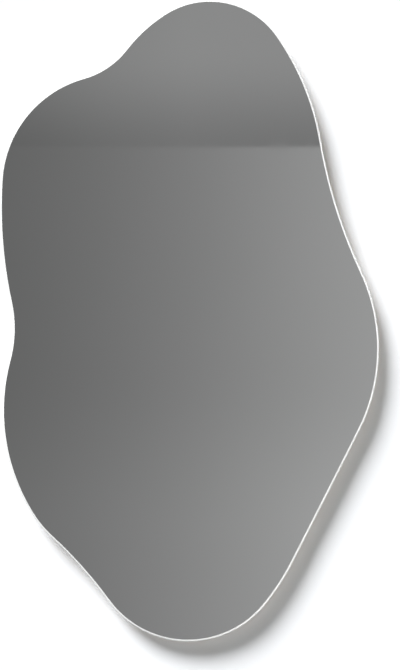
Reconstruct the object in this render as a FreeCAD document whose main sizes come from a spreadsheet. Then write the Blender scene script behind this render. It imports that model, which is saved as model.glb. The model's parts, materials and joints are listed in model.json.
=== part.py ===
import FreeCAD, Part

import math
import os

import Sketcher
from FreeCAD import Placement, Rotation, Vector

# A frameless wall mirror with a free, pebble-like outline, hung by two wire rings on two wall hooks.
# X runs to the right as the mirror is looked at, +Z is up and the wall is the plane Y = 0.
# The reflecting side faces -Y. The origin is on the wall, midway between the four hook screws.
# Every outline is measured from the mirror's own middle. Lengths are in mm, angles in degrees.

SIZES = (
    # outline: lobes
    ("top_lobe_x", 27, "top lobe, centre to the right of the mirror's middle"),
    ("top_lobe_z", 315, "top lobe, centre above the middle"),
    ("top_lobe_radius", 110, "top lobe, radius of the glass edge"),
    ("right_lobe_x", 11, "right lobe, centre to the right of the middle"),
    ("right_lobe_z", -37, "right lobe, centre above the middle"),
    ("right_lobe_radius", 240, "right lobe, radius"),
    ("bottom_lobe_x", -2, "bottom lobe, centre to the right of the middle"),
    ("bottom_lobe_z", -294, "bottom lobe, centre above the middle"),
    ("bottom_lobe_radius", 131, "bottom lobe, radius"),
    ("lower_left_lobe_x", 10, "lower left lobe, centre to the right of the middle"),
    ("lower_left_lobe_z", -119, "lower left lobe, centre above the middle"),
    ("lower_left_lobe_radius", 258, "lower left lobe, radius"),
    ("upper_left_lobe_x", -100, "upper left lobe, centre to the right of the middle"),
    ("upper_left_lobe_z", 178, "upper left lobe, centre above the middle"),
    ("upper_left_lobe_radius", 150, "upper left lobe, radius"),
    # outline: shoulders, which continue a lobe in another curvature from a given direction on
    ("top_left_shoulder_radius", 203, "shoulder to the left of the top lobe, radius"),
    ("top_left_shoulder_turn", 122, "direction in which it meets the lobe, from +X"),
    ("top_right_shoulder_radius", 343, "shoulder to the right of the top lobe, radius"),
    ("top_right_shoulder_turn", 35, "direction in which it meets the lobe"),
    ("bottom_right_shoulder_radius", 300, "shoulder above the right of the bottom lobe, radius"),
    ("bottom_right_shoulder_turn", -40, "direction in which it meets the lobe"),
    ("lower_left_shoulder_radius", 138, "tight shoulder under the lower left lobe, radius"),
    ("lower_left_shoulder_turn", -147, "direction in which it meets the lobe"),
    ("upper_left_shoulder_radius", 600, "flat shoulder under the upper left lobe, radius"),
    ("upper_left_shoulder_turn", 176.5, "direction in which it meets the lobe"),
    # outline: hollows between the lobes
    ("right_hollow_radius", 690, "hollow between the top and right lobes"),
    ("bottom_hollow_radius", 600, "hollow between the bottom and lower left lobes"),
    ("left_hollow_radius", 164, "waist between the lower left and upper left lobes"),
    ("top_hollow_radius", 109, "hollow between the upper left and top lobes"),
    # layers, from the glass to the wall
    ("glass_thickness", 5, "silvered float glass"),
    ("glass_edge_radius", 2.2, "rounded and polished edge of the glass, front and back"),
    ("film_thickness", 0.2, "film on the back of the glass that holds it together if it breaks"),
    ("film_inset", 3, "film, from the edge of the glass inwards"),
    ("tape_thickness", 1, "foam tape between film and board"),
    ("tape_width", 25, "foam tape"),
    ("tape_pitch", 60, "foam tape, strip to strip"),
    ("board_thickness", 9, "backing board"),
    ("board_inset", 15, "backing board, from the edge of the glass inwards"),
    ("board_chamfer", 2, "bevel round the wall side of the board"),
    ("standoff", 11, "gap between the board and the wall"),
    # foam tape, lower and upper end of each strip from the middle
    ("tape_1_low", -255, "strip furthest to the left"),
    ("tape_1_high", 270, "strip furthest to the left"),
    ("tape_2_low", -315, "second strip"),
    ("tape_2_high", 300, "second strip"),
    ("tape_3_low", -365, "third strip"),
    ("tape_3_high", 345, "third strip"),
    ("tape_4_low", -365, "fourth strip"),
    ("tape_4_high", 370, "fourth strip"),
    ("tape_5_low", -300, "fifth strip"),
    ("tape_5_high", 335, "fifth strip"),
    ("tape_6_low", -200, "strip furthest to the right"),
    ("tape_6_high", 165, "strip furthest to the right"),
    # ring hangers
    ("hanger_pitch", 240, "distance between the two rings of a pair, and between the wall hooks"),
    ("hanger_height", 232, "pins of the two upper rings above the middle"),
    ("side_hanger_x", 168, "pins of the two side rings to the right of the middle"),
    ("side_hanger_z", -30, "middle of the two side rings above the mirror's middle"),
    ("ring_wire", 3, "wire of a ring, diameter"),
    ("ring_width", 22, "ring, between the middles of its two sides"),
    ("ring_length", 18, "ring, from the middle of its pin to the middle of its far bar"),
    ("ring_pin_corner", 2.5, "bend of the wire beside the pin, radius to the wire's middle"),
    ("ring_far_corner", 6.5, "bend of the wire beside the far bar, radius to the wire's middle"),
    ("strap_steel", 1.2, "steel of the folded strap"),
    ("strap_width", 16, "strap"),
    ("strap_length", 56, "strap, from the pin to its end"),
    ("strap_corner", 3, "rounded end of the strap, radius"),
    ("strap_seam", 0.1, "seam between the two layers of the strap"),
    ("eye_clearance", 0.1, "play of the pin in the eye, on the radius"),
    ("eye_throat_radius", 1.2, "outer bend where the eye closes onto the strap"),
    ("first_screw", 11.5, "first strap screw from the pin"),
    ("screw_pitch", 30, "from the first strap screw to the second"),
    # screws
    ("screw_shank", 3.5, "screw, shank diameter"),
    ("screw_head", 7, "screw, head diameter"),
    ("screw_head_height", 2.4, "screw, height of the head"),
    ("screw_head_round", 1.2, "screw, rounded rim of the head"),
    ("screw_point", 2, "screw, length of the point"),
    ("screw_end_margin", 1.5, "board left in front of a screw's point"),
    ("pilot_end_margin", 1, "board left in front of a pilot hole"),
    ("pilot_clearance", 0.05, "shank in its pilot hole, on the radius"),
    ("strap_hole_clearance", 0.2, "shank in the strap or bumper, on the radius"),
    ("recess_length", 4.2, "cross recess, length of each slot"),
    ("recess_width", 0.9, "cross recess, width of each slot"),
    ("recess_depth", 1.3, "cross recess, depth"),
    # bumpers
    ("bumper_base", 20, "bumper, diameter on the board"),
    ("bumper_tip", 16, "bumper, diameter at the wall"),
    ("bumper_floor", 2.5, "rubber under the screw head"),
    ("bumper_bore", 9, "bore above the screw head"),
    ("bumper_round", 1, "rounded rim at the wall"),
    ("upper_left_bumper_x", -45, "bumper, to the right of the middle"),
    ("upper_left_bumper_z", 320, "bumper, above the middle"),
    ("upper_right_bumper_x", 90, "bumper, to the right of the middle"),
    ("upper_right_bumper_z", 320, "bumper, above the middle"),
    ("lower_left_bumper_x", -85, "bumper, to the right of the middle"),
    ("lower_left_bumper_z", -320, "bumper, above the middle"),
    ("lower_right_bumper_x", 80, "bumper, to the right of the middle"),
    ("lower_right_bumper_z", -320, "bumper, above the middle"),
    # wall hooks
    ("hook_steel", 2, "steel of a wall hook"),
    ("hook_width", 18, "plate of a wall hook"),
    ("hook_corner", 3, "rounded corners of the plate"),
    ("hook_hole", 4.5, "screw hole in the plate, diameter"),
    ("hook_hole_pitch", 20, "from the upper screw hole to the lower"),
    ("hook_head_room", 8, "plate above the upper hole"),
    ("hook_drop", 14, "from the lower hole down to the middle of the ring's bar"),
    ("hook_clearance", 0.3, "between the ring's bar and the hook"),
    ("hook_slope", 30, "tongue, from upright"),
    ("hook_board_gap", 1.5, "between the tip of the tongue and the board"),
    ("tongue_width", 8, "tongue of a wall hook"),
)

# The outline clockwise, as the mirror is looked at. A lobe is placed by its centre, a shoulder continues
# the lobe that it names, and a hollow or the straight joins its two neighbours at their tangents.
OUTLINE = (
    ("shoulder", "top_left_shoulder", "top_lobe"),
    ("lobe", "top_lobe", None),
    ("shoulder", "top_right_shoulder", "top_lobe"),
    ("hollow", "right_hollow", None),
    ("lobe", "right_lobe", None),
    ("straight", "lower_right_straight", None),
    ("shoulder", "bottom_right_shoulder", "bottom_lobe"),
    ("lobe", "bottom_lobe", None),
    ("hollow", "bottom_hollow", None),
    ("shoulder", "lower_left_shoulder", "lower_left_lobe"),
    ("lobe", "lower_left_lobe", None),
    ("hollow", "left_hollow", None),
    ("shoulder", "upper_left_shoulder", "upper_left_lobe"),
    ("lobe", "upper_left_lobe", None),
    ("hollow", "top_hollow", None),
)

TAPE_STRIPS = 6
BUMPERS = ("upper_left", "upper_right", "lower_left", "lower_right")

# A sketch names the points of its pieces by number, and its own origin is the first point of piece -1.
START, END, CENTRE = range(1, 4)
ROOT_POINT = (-1, START)

# Tolerances of the tests below: angle between two directions that count as one, distance of two levels
# that count as one, and share by which a wire's volume may miss its section times its length.
SAME_DIRECTION_ANGLE = 2.5
SAME_LEVEL = 1e-4
SAME_VOLUME = 0.001

# A rounded glass edge takes at most this share of the glass's thickness from either side.
EDGE_SHARE = 0.48

doc = FreeCAD.newDocument("irregular_mirror")
sheet = doc.addObject("Spreadsheet::Sheet", "Sizes")
for row, (alias, value, meaning) in enumerate(SIZES, start=1):
    sheet.set(f"A{row}", meaning)
    sheet.set(f"B{row}", str(value))
    sheet.setAlias(f"B{row}", alias)
doc.recompute()


def number(expression):
    """Value of an expression in the sheet's sizes."""
    found = sheet.evalExpression(expression)
    return float(getattr(found, "Value", found))


# ---------------------------------------------------------------- levels that several pieces share

EYE_RADIUS = "(Sizes.ring_wire / 2 + Sizes.eye_clearance)"
EYE_OUTER = f"({EYE_RADIUS} + Sizes.strap_steel)"
STRAP_STACK = "(2 * Sizes.strap_steel + Sizes.strap_seam)"
PIN_Y = f"({EYE_OUTER} - Sizes.standoff)"
HOOK_BEND = "(Sizes.ring_wire / 2 + Sizes.hook_clearance)"
SEAT_Y = f"(-Sizes.hook_steel - {HOOK_BEND})"
SEAT_Z = "(-Sizes.hook_hole_pitch / 2 - Sizes.hook_drop)"
RING_RISE = f"sqrt(Sizes.ring_length ^ 2 - ({SEAT_Y} - {PIN_Y}) ^ 2)"
RING_LEAN = f"asin(({SEAT_Y} - {PIN_Y}) / Sizes.ring_length)"
MIRROR_Z = f"({SEAT_Z} - {RING_RISE} - Sizes.hanger_height)"
BOARD_FRONT = "(Sizes.standoff + Sizes.board_thickness)"
TAPE_FRONT = f"({BOARD_FRONT} + Sizes.tape_thickness)"
FILM_FRONT = f"({TAPE_FRONT} + Sizes.film_thickness)"
SCREW_GRIP = "(Sizes.board_thickness - Sizes.screw_end_margin)"


# ---------------------------------------------------------------- drawing helpers

def new_body(label):
    body = doc.addObject("PartDesign::Body", label)
    body.Label = label
    return body


def new_sketch(body, name, role):
    """Sketch on one of the body's own origin planes."""
    sketch = body.newObject("Sketcher::SketchObject", f"{body.Name}_{name}")
    plane = next(item for item in body.Origin.OriginFeatures if item.Role == role)
    sketch.AttachmentSupport = [(plane, "")]
    sketch.MapMode = "FlatFace"
    return sketch


def tie(sketch, name, kind, refs, expression):
    """Dimension of a sketch that follows an expression in the sheet's sizes."""
    value = number(expression)
    if kind == "Angle":
        value = math.radians(value)
    index = sketch.addConstraint(Sketcher.Constraint(kind, *refs, value))
    sketch.renameConstraint(index, name)
    sketch.setExpression(f"Constraints.{name}", expression)


def pin_point(sketch, name, point, across, up):
    """Fixes a point of a sketch by its two distances from the sketch's origin."""
    tie(sketch, f"{name}_across", "DistanceX", (*ROOT_POINT, *point), across)
    tie(sketch, f"{name}_up", "DistanceY", (*ROOT_POINT, *point), up)


def relate(sketch, kind, *refs):
    sketch.addConstraint(Sketcher.Constraint(kind, *refs))


def add_line(sketch, start, end):
    return sketch.addGeometry(Part.LineSegment(Vector(*start, 0), Vector(*end, 0)), False)


def add_arc(sketch, centre, radius, first, last):
    """Arc anticlockwise from the angle first to the angle last, in radians."""
    while last <= first:
        last += 2 * math.pi
    circle = Part.Circle(Vector(*centre, 0), Vector(0, 0, 1), radius)
    return sketch.addGeometry(Part.ArcOfCircle(circle, first, last), False)


def add_circle(sketch, name, across, up, radius):
    centre = Vector(number(across), number(up), 0)
    index = sketch.addGeometry(Part.Circle(centre, Vector(0, 0, 1), number(radius)), False)
    pin_point(sketch, name, (index, CENTRE), across, up)
    tie(sketch, f"{name}_radius", "Radius", (index,), radius)


def add_polygon(sketch, name, corners):
    """Closed run of lines through corners that are given as pairs of expressions."""
    points = [(number(across), number(up)) for across, up in corners]
    lines = [add_line(sketch, start, end) for start, end in zip(points, points[1:] + points[:1])]
    for place, line in enumerate(lines):
        relate(sketch, "Coincident", lines[place - 1], END, line, START)
        pin_point(sketch, f"{name}_{place}", (line, START), *corners[place])


def pad(body, sketch, length, both_sides=False, backwards=False):
    feature = body.newObject("PartDesign::Pad", f"{sketch.Name}_pad")
    feature.Profile = sketch
    feature.SideType = "Symmetric" if both_sides else "One side"
    feature.Reversed = backwards
    feature.setExpression("Length", length)
    doc.recompute()
    return feature


def pocket(body, sketch, length, backwards):
    """Cut from a sketch, which has to take material away."""
    before = body.Shape.Volume
    feature = body.newObject("PartDesign::Pocket", f"{sketch.Name}_pocket")
    feature.Profile = sketch
    feature.Reversed = backwards
    feature.setExpression("Length", length)
    doc.recompute()
    if body.Shape.Volume >= before:
        raise RuntimeError(f"{feature.Name} cuts nothing")
    return feature


def revolve(body, sketch, axis_role):
    feature = body.newObject("PartDesign::Revolution", f"{sketch.Name}_turned")
    feature.Profile = sketch
    axis = next(item for item in body.Origin.OriginFeatures if item.Role == axis_role)
    feature.ReferenceAxis = (axis, [""])
    feature.Angle = 360
    doc.recompute()
    return feature


def dress(body, kind, name, base, edges, size, expression):
    """Fillet or chamfer on the given edges or faces of a feature."""
    feature = body.newObject(f"PartDesign::{kind}", f"{body.Name}_{name}")
    feature.Base = (base, edges)
    feature.setExpression(size, expression)
    doc.recompute()
    return feature


def runs_along(vector, direction):
    """Whether two unit vectors have the same direction."""
    return vector.dot(direction) > math.cos(math.radians(SAME_DIRECTION_ANGLE))


def flat_faces(feature, direction, level=None):
    """Names of a feature's flat faces that look along a direction, at a level if one is given."""
    names = []
    for index, face in enumerate(feature.Shape.Faces, start=1):
        if not isinstance(face.Surface, Part.Plane):
            continue
        looks_along = runs_along(face.normalAt(0, 0), direction)
        at_level = level is None or abs(face.CenterOfMass.dot(direction) - level) < SAME_LEVEL
        if looks_along and at_level:
            names.append(f"Face{index}")
    return names


def edges_along(feature, direction):
    """Names of a feature's straight edges that run along a direction."""
    names = []
    for index, edge in enumerate(feature.Shape.Edges, start=1):
        if not isinstance(edge.Curve, Part.Line):
            continue
        tangent = edge.tangentAt(edge.FirstParameter)
        if runs_along(tangent, direction) or runs_along(tangent * -1, direction):
            names.append(f"Edge{index}")
    return names


def place(thing, across, towards_wall, up, turn_axis=None, turn=None):
    """Puts a sub-part at its place by expressions, turned about an axis if one is given."""
    thing.Placement = Placement(Vector(), Rotation(turn_axis or Vector(0, 0, 1), 0))
    if turn_axis:
        thing.Placement = Placement(Vector(), Rotation(turn_axis, number(turn)))
        thing.setExpression("Placement.Rotation.Angle", turn)
    thing.setExpression("Placement.Base.x", across)
    thing.setExpression("Placement.Base.y", towards_wall)
    thing.setExpression("Placement.Base.z", up)


# ---------------------------------------------------------------- the outline of glass, film and board

def outline_circles(inset):
    """Centre and radius of each stretch of the outline, moved inwards by an inset."""
    circles = {}
    for kind, name, _ in OUTLINE:
        if kind == "lobe":
            centre = Vector(number(f"Sizes.{name}_x"), number(f"Sizes.{name}_z"), 0)
            circles[name] = (centre, number(f"Sizes.{name}_radius") - inset)
    for kind, name, lobe in OUTLINE:
        if kind == "shoulder":
            centre, radius = circles[lobe]
            wide = number(f"Sizes.{name}_radius") - inset
            turn = math.radians(number(f"Sizes.{name}_turn"))
            away = Vector(math.cos(turn), math.sin(turn), 0)
            circles[name] = (centre - away * (wide - radius), wide)
    for index, (kind, name, _) in enumerate(OUTLINE):
        if kind == "hollow":
            radius = number(f"Sizes.{name}_radius") + inset
            before_centre, before = circles[OUTLINE[index - 1][1]]
            after_centre, after = circles[OUTLINE[(index + 1) % len(OUTLINE)][1]]
            gap = after_centre - before_centre
            along = (gap.Length ** 2 + (before + radius) ** 2 - (after + radius) ** 2) / (2 * gap.Length)
            aside = math.sqrt((before + radius) ** 2 - along ** 2)
            run = gap / gap.Length
            circles[name] = (before_centre + run * along + Vector(-run.y, run.x, 0) * aside, radius)
    return circles


def meeting_point(circles, index):
    """Point where a stretch of the outline meets the next one."""
    kind, name, _ = OUTLINE[index]
    next_kind, next_name, _ = OUTLINE[(index + 1) % len(OUTLINE)]
    if "straight" in (kind, next_kind):
        straight = index if kind == "straight" else index + 1
        before_centre, before = circles[OUTLINE[straight - 1][1]]
        after_centre, after = circles[OUTLINE[straight + 1][1]]
        gap = after_centre - before_centre
        run = gap / gap.Length
        rise = (before - after) / gap.Length
        outwards = run * rise + Vector(-run.y, run.x, 0) * math.sqrt(1 - rise ** 2)
        if kind == "straight":
            return after_centre + outwards * after
        return before_centre + outwards * before
    centre, radius = circles[name]
    next_centre, next_radius = circles[next_name]
    apart = next_centre - centre
    if "hollow" not in (kind, next_kind) and next_radius > radius:
        apart = apart * -1
    return centre + apart * (radius / apart.Length)


def draw_outline(sketch, inset_name=None):
    """The whole outline as tangent arcs, with every size tied to the sheet."""
    circles = outline_circles(number(f"Sizes.{inset_name}") if inset_name else 0.0)
    meets = [meeting_point(circles, index) for index in range(len(OUTLINE))]
    less, more = (f" - Sizes.{inset_name}", f" + Sizes.{inset_name}") if inset_name else ("", "")
    made = {}
    for index, (kind, name, _) in enumerate(OUTLINE):
        start, end = meets[index - 1], meets[index]
        if kind == "straight":
            made[name] = (add_line(sketch, (start.x, start.y), (end.x, end.y)), START, END)
            continue
        centre, radius = circles[name]
        angles = [math.atan2(point.y - centre.y, point.x - centre.x) for point in (start, end)]
        if kind == "hollow":
            made[name] = (add_arc(sketch, (centre.x, centre.y), radius, *angles), START, END)
        else:
            made[name] = (add_arc(sketch, (centre.x, centre.y), radius, *angles[::-1]), END, START)
    for index, (_, name, _) in enumerate(OUTLINE):
        piece, _, last = made[name]
        following, next_first, _ = made[OUTLINE[(index + 1) % len(OUTLINE)][1]]
        relate(sketch, "Tangent", piece, last, following, next_first)
    for index, (kind, name, lobe) in enumerate(OUTLINE):
        piece, first, last = made[name]
        if kind == "lobe":
            pin_point(sketch, name, (piece, CENTRE), f"Sizes.{name}_x", f"Sizes.{name}_z")
        if kind != "straight":
            change = more if kind == "hollow" else less
            tie(sketch, f"{name}_radius", "Radius", (piece,), f"Sizes.{name}_radius{change}")
        if kind == "shoulder":
            leads_in = OUTLINE[(index + 1) % len(OUTLINE)][1] == lobe
            meet = meets[index] if leads_in else meets[index - 1]
            centre = circles[lobe][0]
            spoke = add_line(sketch, (centre.x, centre.y), (meet.x, meet.y))
            sketch.setConstruction(spoke, True)
            relate(sketch, "Coincident", spoke, START, made[lobe][0], CENTRE)
            relate(sketch, "Coincident", spoke, END, piece, last if leads_in else first)
            tie(sketch, f"{name}_turn", "Angle", (spoke,), f"Sizes.{name}_turn")


def make_layer(label, thickness, back_level, inset_name=None):
    """Sheet of the outline's form whose back lies at a distance in front of the wall."""
    body = new_body(label)
    sketch = new_sketch(body, "outline", "XZ_Plane")
    draw_outline(sketch, inset_name)
    layer = pad(body, sketch, thickness)
    place(body, "0", f"-{back_level}", MIRROR_Z)
    return body, layer


# ---------------------------------------------------------------- glass, film, tape and board

FRONT = Vector(0, -1, 0)
BACK = Vector(0, 1, 0)
UP = Vector(0, 0, 1)


def make_pane():
    body, layer = make_layer("mirror_pane", "Sizes.glass_thickness", FILM_FRONT)
    rims = flat_faces(layer, FRONT) + flat_faces(layer, BACK)
    edge = f"min(Sizes.glass_edge_radius; Sizes.glass_thickness * {EDGE_SHARE})"
    dress(body, "Fillet", "polished_edge", layer, rims, "Radius", edge)
    return body


def make_tape_strip(count):
    body = new_body(f"tape_strip_{count}")
    low, high = f"Sizes.tape_{count}_low", f"Sizes.tape_{count}_high"
    left, right = "-Sizes.tape_width / 2", "Sizes.tape_width / 2"
    sketch = new_sketch(body, "strip", "XZ_Plane")
    add_polygon(sketch, "corner", ((left, low), (right, low), (right, high), (left, high)))
    pad(body, sketch, "Sizes.tape_thickness")
    steps = count - (TAPE_STRIPS + 1) / 2
    place(body, f"{steps} * Sizes.tape_pitch", f"-{BOARD_FRONT}", MIRROR_Z)
    return body


def strap_screw_places():
    """Screw places of all straps on the board, from the mirror's middle."""
    for side in (-1, 1):
        for screw in (0, 1):
            from_pin = f"(Sizes.first_screw + {screw} * Sizes.screw_pitch)"
            yield f"{side} * Sizes.hanger_pitch / 2", f"Sizes.hanger_height - {from_pin}"
            yield (f"Sizes.side_hanger_x - {from_pin}",
                   f"Sizes.side_hanger_z + {side} * Sizes.hanger_pitch / 2")


def make_board():
    body, layer = make_layer("backing_board", "Sizes.board_thickness", "Sizes.standoff", "board_inset")
    back = flat_faces(layer, BACK)
    dress(body, "Chamfer", "bevel", layer, back, "Size", "Sizes.board_chamfer")
    holes = new_sketch(body, "pilot_holes", "XZ_Plane")
    places = list(strap_screw_places())
    places += [(f"Sizes.{name}_bumper_x", f"Sizes.{name}_bumper_z") for name in BUMPERS]
    radius = "Sizes.screw_shank / 2 + Sizes.pilot_clearance"
    for index, (across, up) in enumerate(places):
        add_circle(holes, f"hole_{index}", across, up, radius)
    pocket(body, holes, "Sizes.board_thickness - Sizes.pilot_end_margin", backwards=True)
    return body


# ---------------------------------------------------------------- screws

def make_screw(label, through, head_level, across, up):
    """Pan-head screw along Y, its head towards the wall, through a given thickness into the board."""
    body = new_body(label)
    shank = f"({through} + {SCREW_GRIP})"
    neck = f"Sizes.screw_point - {shank}"
    half = "Sizes.screw_shank / 2"
    profile = new_sketch(body, "half_section", "XY_Plane")
    add_polygon(profile, "corner", (
        ("0", f"-{shank}"),
        (half, neck),
        (half, "0"),
        ("Sizes.screw_head / 2", "0"),
        ("Sizes.screw_head / 2", "Sizes.screw_head_height"),
        ("0", "Sizes.screw_head_height"),
    ))
    turned = revolve(body, profile, "Y_Axis")
    top = flat_faces(turned, BACK, number("Sizes.screw_head_height"))
    dress(body, "Fillet", "head_round", turned, top, "Radius", "Sizes.screw_head_round")
    recess = new_sketch(body, "recess", "XZ_Plane")
    recess.AttachmentOffset = Placement(Vector(), Rotation())
    recess.setExpression("AttachmentOffset.Base.z", "-Sizes.screw_head_height")
    wide, narrow = "Sizes.recess_length / 2", "Sizes.recess_width / 2"
    add_polygon(recess, "cross", (
        (f"-{wide}", f"-{narrow}"), (f"-{narrow}", f"-{narrow}"), (f"-{narrow}", f"-{wide}"),
        (narrow, f"-{wide}"), (narrow, f"-{narrow}"), (wide, f"-{narrow}"),
        (wide, narrow), (narrow, narrow), (narrow, wide),
        (f"-{narrow}", wide), (f"-{narrow}", narrow), (f"-{wide}", narrow),
    ))
    pocket(body, recess, "Sizes.recess_depth", backwards=True)
    place(body, across, head_level, up)
    return body


def make_group(label, members):
    group = doc.addObject("Part::Compound", label)
    group.Label = label
    group.Links = members
    return group


# ---------------------------------------------------------------- ring hangers

def make_strap(label):
    """Steel strip folded round the pin: both layers lie on the board, below an eye at the origin."""
    body = new_body(label)
    sketch = new_sketch(body, "side", "YZ_Plane")
    eye, outer = number(EYE_RADIUS), number(EYE_OUTER)
    steel, seam = number("Sizes.strap_steel"), number("Sizes.strap_seam")
    tail = -number("Sizes.strap_length")
    throat = number("Sizes.eye_throat_radius")
    inner_face = seam - eye
    outer_face = inner_face + steel
    throat_y = outer_face + throat
    throat_z = -math.sqrt((outer + throat) ** 2 - throat_y ** 2)
    meet = math.atan2(throat_z, throat_y)
    back = meet + math.pi
    board_line = add_line(sketch, (-outer, tail), (-outer, 0))
    outer_eye = add_arc(sketch, (0, 0), outer, meet, math.pi)
    outer_throat = add_arc(sketch, (throat_y, throat_z), throat, back, math.pi)
    outer_line = add_line(sketch, (outer_face, throat_z), (outer_face, tail))
    outer_end = add_line(sketch, (outer_face, tail), (inner_face, tail))
    inner_line = add_line(sketch, (inner_face, tail), (inner_face, throat_z))
    inner_throat = add_arc(sketch, (throat_y, throat_z), throat + steel, back, math.pi)
    inner_eye = add_arc(sketch, (0, 0), eye, meet, math.pi)
    seam_line = add_line(sketch, (-eye, 0), (-eye, tail))
    board_end = add_line(sketch, (-eye, tail), (-outer, tail))
    relate(sketch, "Tangent", board_line, END, outer_eye, END)
    relate(sketch, "Tangent", outer_eye, START, outer_throat, START)
    relate(sketch, "Tangent", outer_throat, END, outer_line, START)
    relate(sketch, "Coincident", outer_line, END, outer_end, START)
    relate(sketch, "Coincident", outer_end, END, inner_line, START)
    relate(sketch, "Tangent", inner_line, END, inner_throat, END)
    relate(sketch, "Tangent", inner_throat, START, inner_eye, START)
    relate(sketch, "Tangent", inner_eye, END, seam_line, START)
    relate(sketch, "Coincident", seam_line, END, board_end, START)
    relate(sketch, "Coincident", board_end, END, board_line, START)
    relate(sketch, "Coincident", outer_eye, CENTRE, *ROOT_POINT)
    relate(sketch, "Coincident", inner_eye, CENTRE, *ROOT_POINT)
    relate(sketch, "Coincident", inner_throat, CENTRE, outer_throat, CENTRE)
    for upright in (board_line, outer_line, inner_line, seam_line):
        relate(sketch, "Vertical", upright)
    for level in (outer_end, board_end):
        relate(sketch, "Horizontal", level)
    tie(sketch, "eye", "Radius", (inner_eye,), EYE_RADIUS)
    tie(sketch, "eye_outer", "Radius", (outer_eye,), EYE_OUTER)
    tie(sketch, "throat", "Radius", (outer_throat,), "Sizes.eye_throat_radius")
    tie(sketch, "inner_face", "DistanceX", (*ROOT_POINT, inner_line, END), f"Sizes.strap_seam - {EYE_RADIUS}")
    tie(sketch, "outer_tail", "DistanceY", (*ROOT_POINT, outer_line, END), "-Sizes.strap_length")
    tie(sketch, "board_tail", "DistanceY", (*ROOT_POINT, board_line, START), "-Sizes.strap_length")
    strip = pad(body, sketch, "Sizes.strap_width", both_sides=True)
    ends = [name for name in edges_along(strip, BACK)
            if abs(strip.Shape.getElement(name).CenterOfMass.z - tail) < SAME_LEVEL]
    dress(body, "Fillet", "rounded_end", strip, ends, "Radius", "Sizes.strap_corner")
    holes = new_sketch(body, "holes", "XZ_Plane")
    holes.AttachmentOffset = Placement(Vector(), Rotation())
    holes.setExpression("AttachmentOffset.Base.z", f"-{EYE_OUTER}")
    for screw in (0, 1):
        up = f"-Sizes.first_screw - {screw} * Sizes.screw_pitch"
        add_circle(holes, f"hole_{screw}", "0", up, "Sizes.screw_shank / 2 + Sizes.strap_hole_clearance")
    pocket(body, holes, f"2 * {EYE_OUTER}", backwards=True)
    return body


def make_ring(label):
    """Closed wire ring: its pin lies along X at the origin and its far bar is above it."""
    body = new_body(label)
    path = new_sketch(body, "path", "XZ_Plane")
    half, length = number("Sizes.ring_width / 2"), number("Sizes.ring_length")
    near, far = number("Sizes.ring_pin_corner"), number("Sizes.ring_far_corner")
    quarter = math.pi / 2
    pin_right = add_line(path, (0, 0), (half - near, 0))
    near_right = add_arc(path, (half - near, near), near, -quarter, 0)
    side_right = add_line(path, (half, near), (half, length - far))
    far_right = add_arc(path, (half - far, length - far), far, 0, quarter)
    bar = add_line(path, (half - far, length), (far - half, length))
    far_left = add_arc(path, (far - half, length - far), far, quarter, 2 * quarter)
    side_left = add_line(path, (-half, length - far), (-half, near))
    near_left = add_arc(path, (near - half, near), near, 2 * quarter, 3 * quarter)
    pin_left = add_line(path, (near - half, 0), (0, 0))
    run = (pin_right, near_right, side_right, far_right, bar, far_left, side_left, near_left, pin_left)
    for before, after in zip(run, run[1:]):
        relate(path, "Tangent", before, END, after, START)
    relate(path, "Coincident", pin_right, START, *ROOT_POINT)
    relate(path, "Coincident", pin_left, END, *ROOT_POINT)
    for level in (pin_right, bar, pin_left):
        relate(path, "Horizontal", level)
    for upright in (side_right, side_left):
        relate(path, "Vertical", upright)
    for name, arc, size in (("near_right", near_right, "pin"), ("near_left", near_left, "pin"),
                            ("far_right", far_right, "far"), ("far_left", far_left, "far")):
        tie(path, name, "Radius", (arc,), f"Sizes.ring_{size}_corner")
    tie(path, "right", "DistanceX", (*ROOT_POINT, side_right, START), "Sizes.ring_width / 2")
    tie(path, "left", "DistanceX", (*ROOT_POINT, side_left, START), "-Sizes.ring_width / 2")
    tie(path, "length", "DistanceY", (*ROOT_POINT, bar, START), "Sizes.ring_length")
    wire = new_sketch(body, "wire", "YZ_Plane")
    add_circle(wire, "wire", "0", "0", "Sizes.ring_wire / 2")
    ring = body.newObject("PartDesign::AdditivePipe", f"{body.Name}_bent_wire")
    ring.Profile = wire
    ring.Spine = (path, [f"Edge{index}" for index in range(1, len(run) + 1)])
    doc.recompute()
    wire_length = sum(edge.Length for edge in path.Shape.Edges)
    expected = wire_length * math.pi * number("Sizes.ring_wire / 2") ** 2
    if abs(body.Shape.Volume / expected - 1) > SAME_VOLUME:
        raise RuntimeError(f"{label} isn't its wire's section times its length")
    return body


def make_hanger(label, across, up, sideways):
    """Strap, ring and two screws, with the ring's pin at the given place on the board's back."""
    strap = make_strap(f"{label}_strap")
    ring = make_ring(f"{label}_ring")
    head_level = f"Sizes.strap_steel + Sizes.strap_seam - {EYE_RADIUS}"
    screws = make_group(f"{label}_strap_screws", [
        make_screw(f"{label}_screw_{screw}", STRAP_STACK, head_level,
                   "0", f"-Sizes.first_screw - {screw} * Sizes.screw_pitch")
        for screw in (0, 1)
    ])
    for thing in (strap, screws):
        if sideways:
            place(thing, across, PIN_Y, up, Vector(0, 1, 0), "90")
        else:
            place(thing, across, PIN_Y, up)
    if sideways:
        place(ring, across, PIN_Y, up, Vector(0, 1, 0), "90")
    else:
        place(ring, across, PIN_Y, up, Vector(-1, 0, 0), RING_LEAN)
    return [strap, ring, screws]


# ---------------------------------------------------------------- bumpers

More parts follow.
